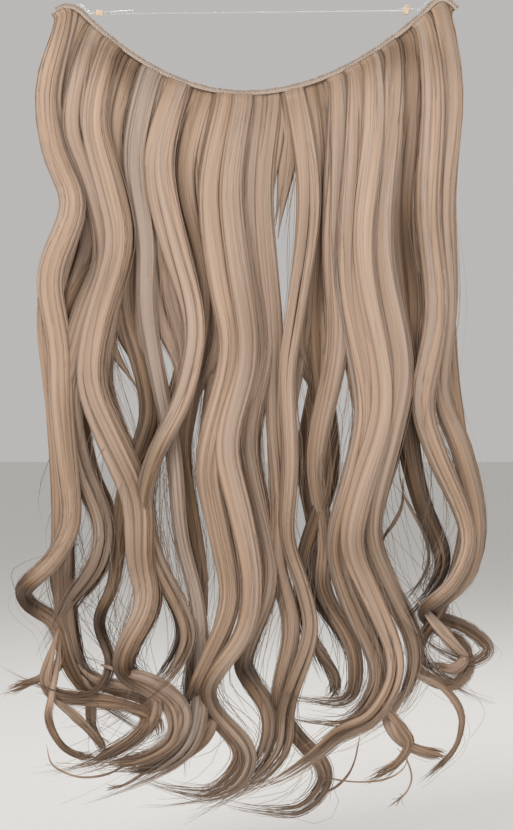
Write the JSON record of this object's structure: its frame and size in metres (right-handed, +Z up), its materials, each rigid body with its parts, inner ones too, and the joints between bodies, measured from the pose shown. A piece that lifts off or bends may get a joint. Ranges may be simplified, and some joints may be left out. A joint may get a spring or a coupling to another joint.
{
  "type": "hairpiece",
  "caption": "Halo hairpiece: 20 inch waved beige-blonde hair on a curved sewn weft band, held over the head by one clear nylon line with two crimp beads.",
  "frame": {"origin": "the middle of the clear line, where it rests on the crown of the head", "axes": "+Z up along the hanging hair, -Y the front of the hair, +X to the right seen from the front"},
  "size_m": [0.3008, 0.0506, 0.5052],
  "materials": {
    "hair": "soft silky waved fibre, beige blonde with golden brown depth",
    "weft": "cream zigzag seam thread on a folded hair edge",
    "nylon": "clear drawn nylon line",
    "crimp": "cream coated crimp bead, slightly worn"
  },
  "bodies": {
    "root": {"hair": "hair", "weft_band": "weft", "head_wire": "nylon", "crimp_bead_left": "crimp", "crimp_bead_right": "crimp"}
  },
  "joints": []
}
